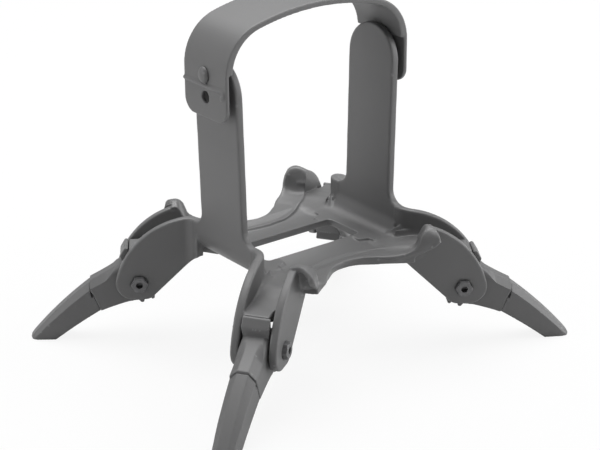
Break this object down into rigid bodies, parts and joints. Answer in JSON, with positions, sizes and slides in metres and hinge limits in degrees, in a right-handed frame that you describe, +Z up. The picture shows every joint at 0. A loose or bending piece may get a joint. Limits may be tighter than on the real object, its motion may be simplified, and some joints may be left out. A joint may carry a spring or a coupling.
{
  "type": "folding drone landing gear",
  "caption": "Open cradle with two upright arms, a strap over the top and hinged folding legs that raise a small camera drone.",
  "frame": {"origin": "on the ground, at the centre of the four feet", "axes": "+Z up, +X from arm to arm, +Y to the rear"},
  "size_m": [0.1626, 0.1264, 0.1312],
  "materials": {
    "cradle_plastic": "moulded, fine grain",
    "leg_plastic": "moulded, fine grain",
    "strap_plastic": "soft, fine grain",
    "screw_steel": "blackened steel",
    "nut_steel": "blackened steel"
  },
  "bodies": {
    "cradle": {"cradle": "cradle_plastic", "strap": "strap_plastic", "pivot_screw_front_left": "screw_steel", "pivot_nut_front_left": "nut_steel", "pivot_screw_front_right": "screw_steel", "pivot_nut_front_right": "nut_steel", "pivot_screw_rear_left": "screw_steel", "pivot_nut_rear_left": "nut_steel", "pivot_screw_rear_right": "screw_steel", "pivot_nut_rear_right": "nut_steel"},
    "leg_front_left": {"leg_link_front_left": "leg_plastic", "foot_front_left": "leg_plastic"},
    "leg_front_right": {"leg_link_front_right": "leg_plastic", "foot_front_right": "leg_plastic"},
    "leg_rear_left": {"leg_link_rear_left": "leg_plastic", "foot_rear_left": "leg_plastic"},
    "leg_rear_right": {"leg_link_rear_right": "leg_plastic", "foot_rear_right": "leg_plastic"}
  },
  "joints": [
    {"name": "fold_front_left", "type": "hinge", "parent": "cradle", "child": "leg_front_left", "pos_m": [-0.0457, -0.0383, 0.0235], "axis": [0.5511, -0.8345, 0], "range_deg": [0, 150]},
    {"name": "fold_front_right", "type": "hinge", "parent": "cradle", "child": "leg_front_right", "pos_m": [0.0457, -0.0383, 0.0235], "axis": [0.5511, 0.8345, 0], "range_deg": [0, 150]},
    {"name": "fold_rear_left", "type": "hinge", "parent": "cradle", "child": "leg_rear_left", "pos_m": [-0.0457, 0.0383, 0.0235], "axis": [-0.5511, -0.8345, 0], "range_deg": [0, 150]},
    {"name": "fold_rear_right", "type": "hinge", "parent": "cradle", "child": "leg_rear_right", "pos_m": [0.0457, 0.0383, 0.0235], "axis": [-0.5511, 0.8345, 0], "range_deg": [0, 150]}
  ]
}
